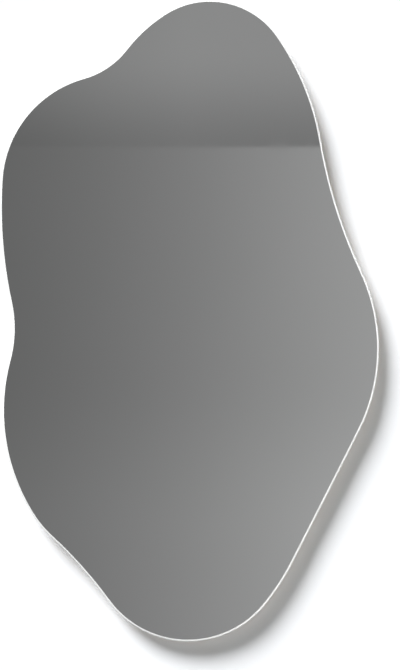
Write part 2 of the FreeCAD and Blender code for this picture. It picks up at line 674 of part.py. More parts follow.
def make_bumper(name):
    """Tapered rubber foot from the board at Y = 0 to the wall, screwed down through its floor."""
    body = new_body(f"{name}_bumper")
    profile = new_sketch(body, "half_section", "XY_Plane")
    hole = "Sizes.screw_shank / 2 + Sizes.strap_hole_clearance"
    add_polygon(profile, "corner", (
        (hole, "0"),
        ("Sizes.bumper_base / 2", "0"),
        ("Sizes.bumper_tip / 2", "Sizes.standoff"),
        ("Sizes.bumper_bore / 2", "Sizes.standoff"),
        ("Sizes.bumper_bore / 2", "Sizes.bumper_floor"),
        (hole, "Sizes.bumper_floor"),
    ))
    turned = revolve(body, profile, "Y_Axis")
    wall_side = flat_faces(turned, BACK, number("Sizes.standoff"))
    dress(body, "Fillet", "rim", turned, wall_side, "Radius", "Sizes.bumper_round")
    place(body, f"Sizes.{name}_bumper_x", "-Sizes.standoff", f"{MIRROR_Z} + Sizes.{name}_bumper_z")
    return body


# ---------------------------------------------------------------- wall hooks

def make_wall_hook(label, side):
    """Plate on the wall whose lower end turns out and up into a tongue that holds the ring's bar."""
    body = new_body(label)
    half = "Sizes.hook_width / 2"
    top = "(Sizes.hook_hole_pitch / 2 + Sizes.hook_head_room)"
    plate = new_sketch(body, "plate", "XZ_Plane")
    add_polygon(plate, "corner", ((f"-{half}", SEAT_Z), (half, SEAT_Z), (half, top), (f"-{half}", top)))
    for name, up in (("upper", "Sizes.hook_hole_pitch / 2"), ("lower", "-Sizes.hook_hole_pitch / 2")):
        add_circle(plate, f"{name}_hole", "0", up, "Sizes.hook_hole / 2")
    flat = pad(body, plate, "Sizes.hook_steel")
    corners = edges_along(flat, BACK)
    dress(body, "Fillet", "corners", flat, corners, "Radius", "Sizes.hook_corner")

    tongue = new_sketch(body, "tongue", "YZ_Plane")
    bend, outer = HOOK_BEND, f"({HOOK_BEND} + Sizes.hook_steel)"
    reach = f"(Sizes.standoff - Sizes.hook_board_gap + {SEAT_Y} - {outer} * cos(Sizes.hook_slope * 1deg))"
    straight = f"{reach} / sin(Sizes.hook_slope * 1deg)"
    seat_y, seat_z = number(SEAT_Y), number(SEAT_Z)
    slope = math.radians(number("Sizes.hook_slope"))
    run = number(straight)
    along = (-math.sin(slope), math.cos(slope))
    across = (-math.cos(slope), -math.sin(slope))
    outer_start = tuple(c + number(outer) * d for c, d in zip((seat_y, seat_z), across))
    inner_start = tuple(c + number(bend) * d for c, d in zip((seat_y, seat_z), across))
    outer_tip = tuple(c + run * d for c, d in zip(outer_start, along))
    inner_tip = tuple(c + run * d for c, d in zip(inner_start, along))
    first = math.pi + slope
    outer_arc = add_arc(tongue, (seat_y, seat_z), number(outer), first, 2 * math.pi)
    inner_arc = add_arc(tongue, (seat_y, seat_z), number(bend), first, 2 * math.pi)
    joint = add_line(tongue, (0, seat_z), (seat_y + number(bend), seat_z))
    outer_line = add_line(tongue, outer_start, outer_tip)
    tip = add_line(tongue, outer_tip, inner_tip)
    inner_line = add_line(tongue, inner_tip, inner_start)
    relate(tongue, "Coincident", outer_arc, END, joint, START)
    relate(tongue, "Coincident", inner_arc, END, joint, END)
    relate(tongue, "Tangent", outer_arc, START, outer_line, START)
    relate(tongue, "Tangent", inner_arc, START, inner_line, END)
    relate(tongue, "Coincident", outer_line, END, tip, START)
    relate(tongue, "Coincident", tip, END, inner_line, START)
    relate(tongue, "Coincident", inner_arc, CENTRE, outer_arc, CENTRE)
    relate(tongue, "Horizontal", joint)
    relate(tongue, "Horizontal", joint, START, outer_arc, CENTRE)
    relate(tongue, "Perpendicular", outer_line, tip)
    pin_point(tongue, "seat", (outer_arc, CENTRE), SEAT_Y, SEAT_Z)
    tie(tongue, "bend", "Radius", (inner_arc,), bend)
    tie(tongue, "outer_bend", "Radius", (outer_arc,), outer)
    tie(tongue, "straight", "Distance", (outer_line,), straight)
    tie(tongue, "slope", "Angle", (outer_line,), "90 + Sizes.hook_slope")
    pad(body, tongue, "Sizes.tongue_width", both_sides=True)
    place(body, f"{side} * Sizes.hanger_pitch / 2", "0", "0")
    return body


# ---------------------------------------------------------------- the whole mirror

film, _ = make_layer("safety_film", "Sizes.film_thickness", TAPE_FRONT, "film_inset")
sub_parts = [make_pane(), film, make_board()]
sub_parts += [make_tape_strip(count) for count in range(1, TAPE_STRIPS + 1)]

for side, name in ((-1, "left"), (1, "right")):
    across = f"{side} * Sizes.hanger_pitch / 2"
    sub_parts += make_hanger(f"upper_{name}", across, f"{MIRROR_Z} + Sizes.hanger_height", sideways=False)
    sub_parts.append(make_wall_hook(f"{name}_wall_hook", side))

for side, name in ((1, "upper"), (-1, "lower")):
    up = f"{MIRROR_Z} + Sizes.side_hanger_z + {side} * Sizes.hanger_pitch / 2"
    sub_parts += make_hanger(f"side_{name}", "Sizes.side_hanger_x", up, sideways=True)

sub_parts += [make_bumper(name) for name in BUMPERS]
bumper_screws = [
    make_screw(f"{name}_bumper_screw", "Sizes.bumper_floor", "Sizes.bumper_floor - Sizes.standoff",
               f"Sizes.{name}_bumper_x", f"{MIRROR_Z} + Sizes.{name}_bumper_z")
    for name in BUMPERS
]
sub_parts.append(make_group("bumper_screws", bumper_screws))
doc.recompute()

for item in doc.Objects:
    if "Invalid" in item.State or "Error" in item.State:
        raise RuntimeError(f"{item.Label} failed: {item.State}")
for sub_part in sub_parts:
    if sub_part.Shape.isNull() or not sub_part.Shape.isValid():
        raise RuntimeError(f"{sub_part.Label} has no valid shape")

os.makedirs("parts", exist_ok=True)
for sub_part in sub_parts:
    box = sub_part.Shape.BoundBox
    sub_part.Shape.exportStep(f"parts/{sub_part.Label}.step")
    print(f"{sub_part.Label}: {len(sub_part.Shape.Solids)} solid(s), {sub_part.Shape.Volume:.0f} mm3, "
          f"{box.XLength:.1f} x {box.YLength:.1f} x {box.ZLength:.1f} mm")
whole = Part.makeCompound([sub_part.Shape for sub_part in sub_parts]).BoundBox
print(f"whole: X {whole.XMin:.2f} to {whole.XMax:.2f}, Y {whole.YMin:.2f} to {whole.YMax:.2f}, "
      f"Z {whole.ZMin:.2f} to {whole.ZMax:.2f}")
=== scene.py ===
# %% [markdown]
# # A frameless wall mirror with a free outline
# The real object is one pane of silvered glass, cut to a pebble-like outline and polished round its
# edge. Behind it are a safety film, foam tape, a backing board, four ring hangers and four rubber feet,
# and on the wall two hooks carry it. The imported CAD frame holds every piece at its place, so this scene
# only gives the pieces their looks: finer shapes where the CAD mesh is coarse, and a finish for each.
# Lengths are in metres. X runs to the right, Z is up, the wall is the plane Y = 0 and the glass looks
# along -Y.

# %% Load the frame
import json
import math

import bmesh
import bpy
from mathutils import Matrix, Vector


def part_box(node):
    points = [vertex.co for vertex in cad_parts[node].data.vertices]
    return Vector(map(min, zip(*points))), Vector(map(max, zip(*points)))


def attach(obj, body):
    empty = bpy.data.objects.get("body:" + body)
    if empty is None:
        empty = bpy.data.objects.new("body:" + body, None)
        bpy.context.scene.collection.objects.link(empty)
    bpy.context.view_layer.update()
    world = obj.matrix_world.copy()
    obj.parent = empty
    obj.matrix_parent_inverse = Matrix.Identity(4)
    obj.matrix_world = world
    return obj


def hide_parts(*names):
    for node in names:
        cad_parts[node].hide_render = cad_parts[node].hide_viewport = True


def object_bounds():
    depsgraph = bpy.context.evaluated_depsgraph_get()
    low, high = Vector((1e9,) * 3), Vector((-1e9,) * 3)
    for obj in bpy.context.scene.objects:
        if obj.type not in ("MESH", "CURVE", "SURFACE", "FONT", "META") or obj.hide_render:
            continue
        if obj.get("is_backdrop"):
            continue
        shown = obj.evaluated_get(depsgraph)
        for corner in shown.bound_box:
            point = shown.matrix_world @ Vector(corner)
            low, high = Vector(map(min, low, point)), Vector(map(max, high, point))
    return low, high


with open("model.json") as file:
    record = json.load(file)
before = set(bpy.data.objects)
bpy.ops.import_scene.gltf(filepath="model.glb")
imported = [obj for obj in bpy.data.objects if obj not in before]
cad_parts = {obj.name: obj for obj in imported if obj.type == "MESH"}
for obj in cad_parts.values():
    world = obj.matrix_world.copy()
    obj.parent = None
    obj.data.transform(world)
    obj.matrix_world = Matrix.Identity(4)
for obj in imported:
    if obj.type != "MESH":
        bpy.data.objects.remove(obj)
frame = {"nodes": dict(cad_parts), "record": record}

cad_low, cad_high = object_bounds()
print("CAD box", [round(c, 4) for c in cad_low], [round(c, 4) for c in cad_high])

# %% [markdown]
# ## Camera
# The photo looks straight at the mirror, and nothing in a flat outline tells how far the camera stood,
# so a long lens at three metres keeps the sides of the pane hidden, as they are in the photo. The pane
# fills the frame's width from its left edge on, which gives the scale and the point that the camera
# faces. No shift is needed.

# %% Camera
FRAME_WIDTH_PX, FRAME_HEIGHT_PX = 400, 670
PANE_LEFT_PX, PANE_TOP_PX = 0.18, 0.09
PANE_HEIGHT_PX = 641.18
CAMERA_DISTANCE = 3.0
SENSOR_LONG_SIDE_MM = 36.0

pane_low, pane_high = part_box("mirror_pane")
metres_per_px = (pane_high.z - pane_low.z) / PANE_HEIGHT_PX
aim_x = pane_low.x + (FRAME_WIDTH_PX / 2 - PANE_LEFT_PX) * metres_per_px
aim_z = pane_high.z - (FRAME_HEIGHT_PX / 2 - PANE_TOP_PX) * metres_per_px

camera_data = bpy.data.cameras.new("camera")
camera_data.sensor_width = SENSOR_LONG_SIDE_MM
camera_data.lens = SENSOR_LONG_SIDE_MM * CAMERA_DISTANCE / (FRAME_HEIGHT_PX * metres_per_px)
camera = bpy.data.objects.new("camera", camera_data)
camera.location = (aim_x, pane_low.y - CAMERA_DISTANCE, aim_z)
camera.rotation_euler = (math.radians(90), 0, 0)
bpy.context.scene.collection.objects.link(camera)
bpy.context.scene.camera = camera
bpy.context.scene.view_settings.view_transform = "Standard"
print("camera aims at", round(aim_x, 4), round(aim_z, 4), "lens", round(camera_data.lens, 1), "mm")

# %% [markdown]
# ## Node helpers
# Every finish below is a small node tree. These helpers keep each tree to the lines that matter. A value
# given to an input may be a plain number or colour, which is set, or another node's output, which is
# linked.

# %% Node helpers


def put(tree, socket, value):
    """Links another node's output to an input, or sets a plain value on it."""
    if isinstance(value, bpy.types.NodeSocket):
        tree.links.new(value, socket)
    else:
        socket.default_value = value


def feed(tree, made, **sockets):
    """Gives a node its inputs by name, with _ for a space."""
    for name, value in sockets.items():
        put(tree, made.inputs[name.replace("_", " ")], value)


def node(tree, kind, **sockets):
    """Adds a node and gives it its inputs."""
    made = tree.nodes.new(kind)
    feed(tree, made, **sockets)
    return made


def math_node(tree, operation, first, second=0.0):
    """One step of arithmetic."""
    made = tree.nodes.new("ShaderNodeMath")
    made.operation = operation
    put(tree, made.inputs[0], first)
    put(tree, made.inputs[1], second)
    return made.outputs["Value"]


def map_range(tree, value, from_low, from_high, to_low, to_high, smooth=False):
    """Maps one range of a value to another, clamped at both ends."""
    made = node(tree, "ShaderNodeMapRange", Value=value, From_Min=from_low, From_Max=from_high,
                To_Min=to_low, To_Max=to_high)
    made.interpolation_type = "SMOOTHSTEP" if smooth else "LINEAR"
    return made.outputs["Result"]


def mix_colour(tree, share, first, second):
    """First colour where the share is 0, second where it is 1."""
    made = tree.nodes.new("ShaderNodeMix")
    made.data_type = "RGBA"
    for name, value in (("Factor_Float", share), ("A_Color", first), ("B_Color", second)):
        put(tree, next(s for s in made.inputs if s.identifier == name), value)
    return next(s for s in made.outputs if s.identifier == "Result_Color")


def colour_ramp(tree, value, stops, interpolation="LINEAR"):
    """Colours at places from 0 to 1 along a value."""
    ramp = node(tree, "ShaderNodeValToRGB", Fac=value)
    ramp.color_ramp.interpolation = interpolation
    elements = ramp.color_ramp.elements
    while len(elements) < len(stops):
        elements.new(0.5)
    for element, (position, colour) in zip(elements, stops):
        element.position = position
        element.color = colour
    return ramp.outputs["Color"]


def noise(tree, place, scale, detail=2.0, roughness=0.5):
    """Soft random pattern at a scale in cycles per metre."""
    made = node(tree, "ShaderNodeTexNoise", Vector=place, Scale=scale, Detail=detail,
                Roughness=roughness)
    return made.outputs["Fac"]


def even_share(tree, pattern):
    """Spreads the middle of a noise pattern, where most of it lies, over 0 to 1."""
    return map_range(tree, pattern, 0.3, 0.7, 0, 1)


def bump(tree, height, strength, distance):
    """Surface relief from a pattern, its depth in metres."""
    made = node(tree, "ShaderNodeBump", Height=height, Strength=strength, Distance=distance)
    return made.outputs["Normal"]


def object_place(tree, stretch=(1, 1, 1)):
    """Object coordinates, squeezed along an axis where a pattern has a direction."""
    place = tree.nodes.new("ShaderNodeTexCoord").outputs["Object"]
    if tuple(stretch) == (1, 1, 1):
        return place
    return node(tree, "ShaderNodeMapping", Vector=place, Scale=stretch).outputs["Vector"]


def clear_tree(owner):
    """Node tree of a new material or world, with nothing in it."""
    owner.use_nodes = True
    owner.node_tree.nodes.clear()
    return owner.node_tree


def new_material(name):
    """Material with a Principled shader on its output."""
    material = bpy.data.materials.new(name)
    tree = clear_tree(material)
    shader = tree.nodes.new("ShaderNodeBsdfPrincipled")
    node(tree, "ShaderNodeOutputMaterial", Surface=shader.outputs["BSDF"])
    return material, tree, shader


# %% [markdown]
# ## Wall and floor
# The mirror hangs on a plain white wall and throws a soft shadow to the lower right. The wall is a real
# white surface, lifted a little for the camera alone, so that it reads white beside the mirror while
# the shadow stays. A touch of blue in it makes up for the warm light that the brown board throws into
# the shadow. Only the camera sees it, and only from the front: to every other ray, and from behind, it
# is clear, so that the back of the mirror can be looked at and lit. The floor far below is made the
# same way. It catches no shadow, so it is lifted more and runs on to the horizon.

# %% Wall and floor
BACKDROP_WHITE = (0.915, 0.93, 0.955, 1)
WALL_LIFT, FLOOR_LIFT = 0.09, 0.75
WALL_GAP = 0.0003
WALL_SIZE, FLOOR_SIZE = 7.0, 60.0
FLOOR_BELOW = 1.2


def backdrop_material(name, lift_strength):
    """White for a camera ray that comes from the front, and clear to all others."""
    material = bpy.data.materials.new(name)
    tree = clear_tree(material)
    rays = tree.nodes.new("ShaderNodeLightPath")
    geometry = tree.nodes.new("ShaderNodeNewGeometry")
    front = math_node(tree, "SUBTRACT", 1.0, geometry.outputs["Backfacing"])
    seen = math_node(tree, "MULTIPLY", rays.outputs["Is Camera Ray"], front)
    paint = node(tree, "ShaderNodeBsdfDiffuse", Color=BACKDROP_WHITE)
    lift = node(tree, "ShaderNodeEmission", Color=(1, 1, 1, 1), Strength=lift_strength)
    clear = node(tree, "ShaderNodeBsdfTransparent")
    lifted = tree.nodes.new("ShaderNodeAddShader")
    put(tree, lifted.inputs[0], paint.outputs["BSDF"])
    put(tree, lifted.inputs[1], lift.outputs["Emission"])
    mix = node(tree, "ShaderNodeMixShader", Fac=seen)
    put(tree, mix.inputs[1], clear.outputs["BSDF"])
    put(tree, mix.inputs[2], lifted.outputs["Shader"])
    node(tree, "ShaderNodeOutputMaterial", Surface=mix.outputs["Shader"])
    return material


def add_backdrop(name, size, place, turn, lift_strength):
    """Plane that faces the object, marked as stage."""
    bpy.ops.object.select_all(action="DESELECT")
    bpy.ops.mesh.primitive_plane_add(size=size, location=place, rotation=(turn, 0, 0))
    surface = bpy.context.object
    surface.name = name
    surface.data.materials.append(backdrop_material(f"{name}_white", lift_strength))
    surface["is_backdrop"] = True
    facing = surface.matrix_world.to_3x3() @ surface.data.polygons[0].normal
    print(name, "faces", [round(c) for c in facing])


add_backdrop("wall", WALL_SIZE, (0, WALL_GAP, cad_low.z), math.radians(90), WALL_LIFT)
add_backdrop("floor", FLOOR_SIZE, (0, 0, cad_low.z - FLOOR_BELOW), 0, FLOOR_LIFT)

# %% [markdown]
# ## What the glass reflects
# A mirror has no colour of its own: it shows what is before it. Here that is a plain studio, the inside
# of a large sphere that only reflections see. The front half of the sphere is a dim grey that gets
# lighter towards +X, and above a level line there is a darker band that gets lighter upwards. Further
# to each side stand two soft, light, upright bands, so that the glass still reads as a mirror from an
# angle. The back half is the white of the background, darker downwards so that metal gets some shape.
# The tones are set on the direction from the sphere's centre, whose parts run from -1 to 1.

# %% Studio sphere
STUDIO_RADIUS = 9.0
# Tone below the line, by the direction's X.
LOWER_TONES = ((-1.0, 0.5), (-0.9, 0.5), (-0.86, 0.25), (-0.79, 0.25), (-0.74, 0.5), (-0.6, 0.5),
               (-0.53, 0.24), (-0.16, 0.12), (-0.08, 0.155), (0.0, 0.222), (0.08, 0.318),
               (0.16, 0.4), (0.5, 0.3), (0.58, 0.3), (0.65, 0.52), (0.78, 0.52), (0.84, 0.26),
               (0.92, 0.26), (0.97, 0.5), (1.0, 0.5))
# The lower tone grows by a factor between two values of the direction's Z.
LOWER_RISES = ((-0.05, -0.15, 1.18), (-0.22, -0.6, 1.15))
# Factor above the line, by the direction's X, on a tone that grows with its Z.
UPPER_SHADES = ((-1.0, 1.0), (-0.2, 0.6), (-0.1, 0.73), (-0.05, 0.92), (0.0, 1.0), (0.1, 1.17),
                (1.0, 1.2))
UPPER_LINE = (0.0768, 0.0788)
UPPER_RISE, UPPER_TONES = (0.07, 0.135), (0.183, 0.279)
ZENITH_RISE, ZENITH_TONE = (0.2, 1.0), 0.7
BACK_RISE, BACK_TONES = (-0.7, 0.7), (0.3, 1.0)
FRONT_TO_BACK = (-0.35, 0.1)


def grey_ramp(tree, value, tones):
    """Smooth curve of grey through places from -1 to 1."""
    stops = [((place + 1) / 2, (tone, tone, tone, 1)) for place, tone in tones]
    return colour_ramp(tree, map_range(tree, value, -1, 1, 0, 1), stops, "B_SPLINE")


def blend_values(tree, share, first, second):
    """First value where the share is 0, second where it is 1."""
    kept = math_node(tree, "MULTIPLY", first, math_node(tree, "SUBTRACT", 1.0, share))
    return math_node(tree, "ADD", kept, math_node(tree, "MULTIPLY", second, share))


def studio_material():
    """Glow of the studio, by the direction from the sphere's centre."""
    material = bpy.data.materials.new("studio_tones")
    tree = clear_tree(material)
    direction = tree.nodes.new("ShaderNodeVectorMath")
    direction.operation = "NORMALIZE"
    put(tree, direction.inputs[0], object_place(tree))
    split = node(tree, "ShaderNodeSeparateXYZ", Vector=direction.outputs["Vector"])
    across, depth, up = split.outputs

    lower = grey_ramp(tree, across, LOWER_TONES)
    for rise_start, rise_end, factor in LOWER_RISES:
        rise = map_range(tree, up, rise_start, rise_end, 1, factor, smooth=True)
        lower = math_node(tree, "MULTIPLY", lower, rise)
    upper = math_node(tree, "MULTIPLY", grey_ramp(tree, across, UPPER_SHADES),
                      map_range(tree, up, *UPPER_RISE, *UPPER_TONES, smooth=True))
    zenith = map_range(tree, up, *ZENITH_RISE, 0, ZENITH_TONE - UPPER_TONES[1], smooth=True)
    upper = math_node(tree, "ADD", upper, zenith)
    above_line = map_range(tree, up, *UPPER_LINE, 0, 1, smooth=True)
    front = blend_values(tree, above_line, lower, upper)
    back = map_range(tree, up, *BACK_RISE, *BACK_TONES, smooth=True)
    behind = map_range(tree, depth, *FRONT_TO_BACK, 0, 1, smooth=True)
    tone = blend_values(tree, behind, front, back)
    glow = node(tree, "ShaderNodeEmission", Color=(1, 1, 1, 1), Strength=tone)
    node(tree, "ShaderNodeOutputMaterial", Surface=glow.outputs["Emission"])
    return material


bpy.ops.object.select_all(action="DESELECT")
bpy.ops.mesh.primitive_uv_sphere_add(segments=64, ring_count=32, radius=STUDIO_RADIUS)
studio = bpy.context.object
studio.name = "studio"
studio.data.materials.append(studio_material())
for ray in ("camera", "diffuse", "transmission", "volume_scatter", "shadow"):
    setattr(studio, f"visible_{ray}", False)
studio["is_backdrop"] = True
print("studio sphere", STUDIO_RADIUS, "m")

# %% [markdown]
# ## Light
# A broad light far off at the upper left front makes the shadow: its width, seen from the wall, sets
# how far the shadow's edge spreads, and its direction how far the shadow drops. A sun lamp does that
# with the same level everywhere on the wall. The world adds the rest of the level from all sides.
# Together they come to one, at which a colour renders about as it is written. A real white wall would
# also light the glass edge from behind. This one is clear to light, so two narrow lamps just behind its
# plane do that on the right and below, where the main light doesn't reach, and two lamps light the
# back. No lamp shows in a reflection.

# %% World and lamps
LEVEL = 1.0
KEY_SHARE = 0.9
KEY_TANGENTS = (-0.87, 1.37)
KEY_ANGLE = math.radians(28)
EDGE_LAMP_SHORT, EDGE_LAMP_LONG = 0.3, 2.0
RIGHT_EDGE_LEVEL, LOWER_EDGE_LEVEL = 1.35, 1.6
BACK_LAMP_SIZE = 1.6
BACK_LEVEL, BACK_FILL_LEVEL = 0.42, 0.2
LEAST_SLANT = 0.2
middle = Vector((0, pane_low.y, (pane_low.z + pane_high.z) / 2))


def make_world():
    """White to what looks at it, and a weak even light for the rest."""
    world = bpy.data.worlds.new("soft_studio")
    tree = clear_tree(world)
    rays = tree.nodes.new("ShaderNodeLightPath")
    seen = math_node(tree, "MAXIMUM", rays.outputs["Is Camera Ray"], rays.outputs["Is Glossy Ray"])
    seen = math_node(tree, "MAXIMUM", seen, rays.outputs["Is Transmission Ray"])
    strength = map_range(tree, seen, 0, 1, LEVEL * (1 - KEY_SHARE), 1)
    sky = node(tree, "ShaderNodeBackground", Color=(1, 1, 1, 1), Strength=strength)
    node(tree, "ShaderNodeOutputWorld", Surface=sky.outputs["Background"])
    bpy.context.scene.world = world


def hang_lamp(data, away):
    """Puts a lamp in the scene so that it shines from where `away` points, unseen in reflections."""
    lamp = bpy.data.objects.new(data.name, data)
    lamp.rotation_euler = away.to_track_quat("Z", "Y").to_euler()
    lamp.visible_glossy = False
    bpy.context.scene.collection.objects.link(lamp)
    return lamp


def make_lamp(name, place, lit_point, facing, level, shape, size):
    """Soft lamp that gives a level on a surface at the lit point that faces a direction."""
    data = bpy.data.lights.new(name, "AREA")
    data.shape = shape
    data.size, data.size_y = size
    away = Vector(place) - Vector(lit_point)
    slant = max(away.normalized().dot(Vector(facing)), LEAST_SLANT)
    # A level of one is pi W/m2, and one watt gives 1 / (pi * distance squared) straight ahead.
    data.energy = level * math.pi * math.pi * away.length_squared / slant
    hang_lamp(data, away).location = place
    print(name, round(data.energy, 1), "W at", round(away.length, 2), "m")


def make_key():
    """Broad sun lamp that gives the wall its share of the level."""
    data = bpy.data.lights.new("key_light", "SUN")
    towards = Vector((KEY_TANGENTS[0], -1, KEY_TANGENTS[1])).normalized()
    data.energy = LEVEL * KEY_SHARE * math.pi / -towards.y
    data.angle = KEY_ANGLE
    hang_lamp(data, towards)
    print("key_light", round(data.energy, 2), "W/m2")


make_world()
make_key()
right_edge = (pane_high.x, pane_low.y, middle.z)
lower_edge = (0, pane_low.y, pane_low.z)
make_lamp("right_edge_lamp", (2.4, 0.2, -0.5), right_edge, (1, 0, 0), RIGHT_EDGE_LEVEL,
          "RECTANGLE", (EDGE_LAMP_SHORT, EDGE_LAMP_LONG))
make_lamp("lower_edge_lamp", (0.3, 0.2, -2.4), lower_edge, (0, 0, -1), LOWER_EDGE_LEVEL,
          "RECTANGLE", (EDGE_LAMP_LONG, EDGE_LAMP_SHORT))
make_lamp("back_lamp", (1.7, 2.6, 1.5), middle, (0, 1, 0), BACK_LEVEL,
          "DISK", (BACK_LAMP_SIZE, BACK_LAMP_SIZE))
make_lamp("back_fill_lamp", (-2.0, 2.4, -0.8), middle, (0, 1, 0), BACK_FILL_LEVEL,
          "DISK", (BACK_LAMP_SIZE, BACK_LAMP_SIZE))

# %% [markdown]
# ## Modelling helpers
# Operators act on what is selected, so every piece starts with nothing selected, and faces and edges
# are then picked by where they lie or where they face. A piece's object stays at the origin, with its
# place in its mesh, as the CAD nodes do.

# %% Modelling helpers
MERGE_WITHIN = 1e-6
SMOOTH_BELOW = math.radians(40)
EASED_ABOVE = math.radians(35)
SQUARE_ON = 0.9
ALONG_Y = (math.radians(90), 0, 0)


def select_only(*pieces):
    """Leaves edit mode and selects these objects alone."""
    if bpy.context.object and bpy.context.object.mode != "OBJECT":
        bpy.ops.object.mode_set(mode="OBJECT")
    bpy.ops.object.select_all(action="DESELECT")
    for piece in pieces:
        piece.select_set(True)
        bpy.context.view_layer.objects.active = piece


def bake_place():
    """Moves the object's own place, turn and scale into its mesh."""
    bpy.ops.object.transform_apply(location=True, rotation=True, scale=True)


def start_piece(name, add, **settings):
    """Adds a primitive with nothing else selected, named, with its place in its mesh."""
    select_only()
    add(**settings)
    piece = bpy.context.object
    piece.name = piece.data.name = name
    bake_place()
    return piece


def pick(piece, mode, test):
    """Selects the vertices, edges or faces of a piece in edit mode that pass a test."""
    bpy.context.tool_settings.mesh_select_mode = [mode == kind for kind in ("verts", "edges", "faces")]
    cage = bmesh.from_edit_mesh(piece.data)
    for kind in (cage.verts, cage.edges, cage.faces):
        for part in kind:
            part.select = False
    chosen = [part for part in getattr(cage, mode) if test(part)]
    for part in chosen:
        part.select = True
    cage.select_flush_mode()
    bmesh.update_edit_mesh(piece.data)
    return len(chosen)


def runs_along_y(edge):
    run = (edge.verts[1].co - edge.verts[0].co).normalized()
    return abs(run.y) > 0.99


def centre_of(part):
    return sum((vertex.co for vertex in part.verts), Vector()) / len(part.verts)


def apply_modifier(piece, kind, name, **settings):
    """Adds a modifier, sets it up and applies it."""
    select_only(piece)
    modifier = piece.modifiers.new(name, kind)
    for key, value in settings.items():
        setattr(modifier, key, value)
    bpy.ops.object.modifier_apply(modifier=modifier.name)


def cut_away(piece, cutter):
    """Cuts one mesh out of another and deletes the cutter."""
    apply_modifier(piece, "BOOLEAN", "cut", operation="DIFFERENCE", object=cutter, solver="EXACT")
    bpy.data.objects.remove(cutter)


def ease_edges(piece, width, segments=2):
    """Breaks the sharp edges by a small round, then shades the piece."""
    apply_modifier(piece, "BEVEL", "broken_edges", width=width, segments=segments,
                   limit_method="ANGLE", angle_limit=EASED_ABOVE)
    finish_shading(piece)


def finish_shading(piece):
    """Shades flat faces flat and rounds smooth."""
    select_only(piece)
    bpy.ops.object.shade_smooth_by_angle(angle=SMOOTH_BELOW)
    apply_modifier(piece, "WEIGHTED_NORMAL", "flat_faces_rule", keep_sharp=True, weight=100)


def recalculate(piece):
    """Merges doubles and turns every face outwards."""
    select_only(piece)
    bpy.ops.object.mode_set(mode="EDIT")
    bpy.ops.mesh.select_all(action="SELECT")
    bpy.ops.mesh.remove_doubles(threshold=MERGE_WITHIN)
    bpy.ops.mesh.normals_make_consistent(inside=False)
    bpy.ops.object.mode_set(mode="OBJECT")


def drill_along_y(piece, radius, depth, place, sides):
    """Cuts a round hole through a piece, along Y."""
    drill = start_piece("drill", bpy.ops.mesh.primitive_cylinder_add, vertices=sides, radius=radius,
                        depth=depth, location=place, rotation=ALONG_Y)
    cut_away(piece, drill)


def copy_piece(pattern, name, change):
    """Copy with its own mesh, moved by a matrix."""
    piece = bpy.data.objects.new(name, pattern.data.copy())
    piece.data.name = name
    piece.data.transform(change)
    bpy.context.scene.collection.objects.link(piece)
    return piece


def report(piece):
    """Prints a mesh's faces, its open edges and its volume."""
    cage = bmesh.new()
    cage.from_mesh(piece.data)
    open_edges = sum(not edge.is_manifold for edge in cage.edges)
    volume = cage.calc_volume(signed=True) * 1e9
    cage.free()
    print(f"{piece.name}: {len(piece.data.polygons)} faces, {open_edges} open edges, {volume:.0f} mm3")


# %% [markdown]
# ## The pane
# The real pane is float glass, cut to the outline, ground to a round edge and polished, then silvered
# and painted on its back. The CAD pane has the outline, but one finish can't be given to its front,
# edge and back apart, and its outline is a chain of short chords. So the outline is taken by cutting a
# copy in two at half thickness. The cut also meets the diagonals of the CAD mesh, halfway along each
# chord, and those points go. What is left becomes a curve that passes smoothly through the corners,
# and that is filled as a face, pulled out to the thickness of the glass and rounded front and back
# with a bevel. Front, edge and back then get a slot each. The flat faces rule the shading, so the
# front reflects as one plane.

# %% Pane
EDGE_ROUND = 0.0022
EDGE_SEGMENTS = 7
CURVE_STEPS = 6
STRAIGHT = math.radians(179.8)
SQUARE_CORNER = math.radians(60)
FRONT_SLOT, EDGE_SLOT, BACK_SLOT = range(3)
FLAT_ON = 0.999


def halfway_on_chord(vertex):
    """True for a point of the cut where the outline doesn't turn."""
    first, second = (edge.other_vert(vertex).co - vertex.co for edge in vertex.link_edges)
    return first.angle(second) > STRAIGHT


def smooth_outline(pane):
    """Turns the loop of chords into a loop on a smooth curve through its corners."""
    bpy.ops.object.convert(target="CURVE")
    bpy.ops.object.mode_set(mode="EDIT")
    bpy.ops.curve.select_all(action="SELECT")
    bpy.ops.curve.spline_type_set(type="BEZIER")
    bpy.ops.curve.handle_type_set(type="AUTOMATIC")
    bpy.ops.object.mode_set(mode="OBJECT")
    pane.data.resolution_u = CURVE_STEPS
    bpy.ops.object.convert(target="MESH")


